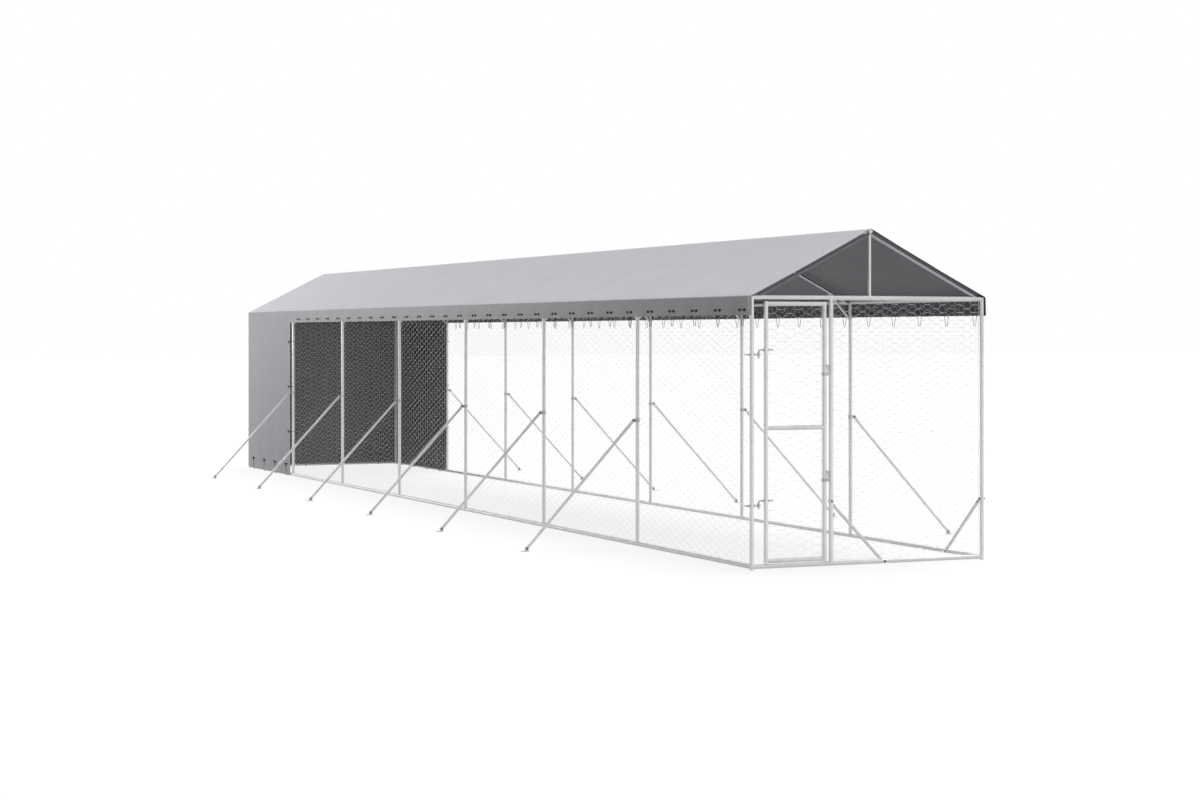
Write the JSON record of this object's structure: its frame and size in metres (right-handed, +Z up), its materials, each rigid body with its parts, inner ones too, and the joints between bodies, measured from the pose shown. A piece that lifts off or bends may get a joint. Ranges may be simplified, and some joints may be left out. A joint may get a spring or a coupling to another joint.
{
  "type": "outdoor dog kennel run",
  "caption": "Long covered dog run of galvanised tube and wire netting with a hinged door, outer ground braces and a grey sheet cover that closes the rear as a shelter.",
  "frame": {"origin": "middle of the run on the ground, under the ridge", "axes": "+X across the run to the right as seen from the door, +Y along it from the door to the rear, +Z up"},
  "size_m": [3.976, 14.0133, 2.4994],
  "materials": {
    "galvanised_tube": "satin galvanised",
    "galvanised_wire": "dull galvanised wire",
    "zinc_hardware": "zinc plated",
    "grey_cover": "matt woven plastic sheet",
    "steel_eyelet": "blackened",
    "grey_cord": "braided"
  },
  "bodies": {
    "run": {"corner_posts": "galvanised_tube", "left_posts": "galvanised_tube", "right_posts": "galvanised_tube", "left_bottom_rails": "galvanised_tube", "right_bottom_rails": "galvanised_tube", "left_eave_rails": "galvanised_tube", "right_eave_rails": "galvanised_tube", "front_bottom_rail": "galvanised_tube", "front_top_rail": "galvanised_tube", "rear_bottom_rail": "galvanised_tube", "rear_top_rail": "galvanised_tube", "latch_post": "galvanised_tube", "left_braces": "galvanised_tube", "right_braces": "galvanised_tube", "left_brace_clamps": "zinc_hardware", "right_brace_clamps": "zinc_hardware", "left_foot_plates": "zinc_hardware", "right_foot_plates": "zinc_hardware", "front_corner_brace": "galvanised_tube", "side_corner_brace": "galvanised_tube", "frame_bolts": "zinc_hardware", "frame_nuts": "zinc_hardware", "left_rafters": "galvanised_tube", "right_rafters": "galvanised_tube", "left_knees": "galvanised_tube", "right_knees": "galvanised_tube", "ridge_tubes": "galvanised_tube", "ridge_hangers": "galvanised_tube", "king_posts": "galvanised_tube", "left_mesh": "galvanised_wire", "right_mesh": "galvanised_wire", "rear_mesh": "galvanised_wire", "front_mesh": "galvanised_wire", "left_roof": "grey_cover", "right_roof": "grey_cover", "left_valance": "grey_cover", "right_valance": "grey_cover", "shelter_left": "grey_cover", "shelter_right": "grey_cover", "shelter_rear": "grey_cover", "eave_eyelets": "steel_eyelet", "shelter_eyelets": "steel_eyelet", "left_eave_ties": "grey_cord", "right_eave_ties": "grey_cord", "shelter_hem_ties": "grey_cord", "shelter_edge_ties": "grey_cord", "hinge_eyes": "zinc_hardware", "hinge_eye_nuts": "zinc_hardware"},
    "door": {"door_hinge_stile": "galvanised_tube", "door_latch_stile": "galvanised_tube", "door_rails": "galvanised_tube", "door_mesh": "galvanised_wire", "hinge_pintles": "zinc_hardware", "hinge_pintle_nuts": "zinc_hardware", "latch_collars": "zinc_hardware"},
    "upper_latch": {"upper_latch_fork": "zinc_hardware"},
    "lower_latch": {"lower_latch_fork": "zinc_hardware"}
  },
  "joints": [
    {"name": "door_swing", "type": "hinge", "parent": "run", "child": "door", "pos_m": [-0.927, -6.97865, 0.468], "axis": [0, 0, -1], "range_deg": [0, 110]},
    {"name": "upper_latch_turn", "type": "hinge", "parent": "door", "child": "upper_latch", "pos_m": [-0.355, -6.97865, 1.42], "axis": [0, 1, 0], "range_deg": [0, 102]},
    {"name": "lower_latch_turn", "type": "hinge", "parent": "door", "child": "lower_latch", "pos_m": [-0.355, -6.97865, 0.64], "axis": [0, 1, 0], "range_deg": [0, 102]}
  ]
}
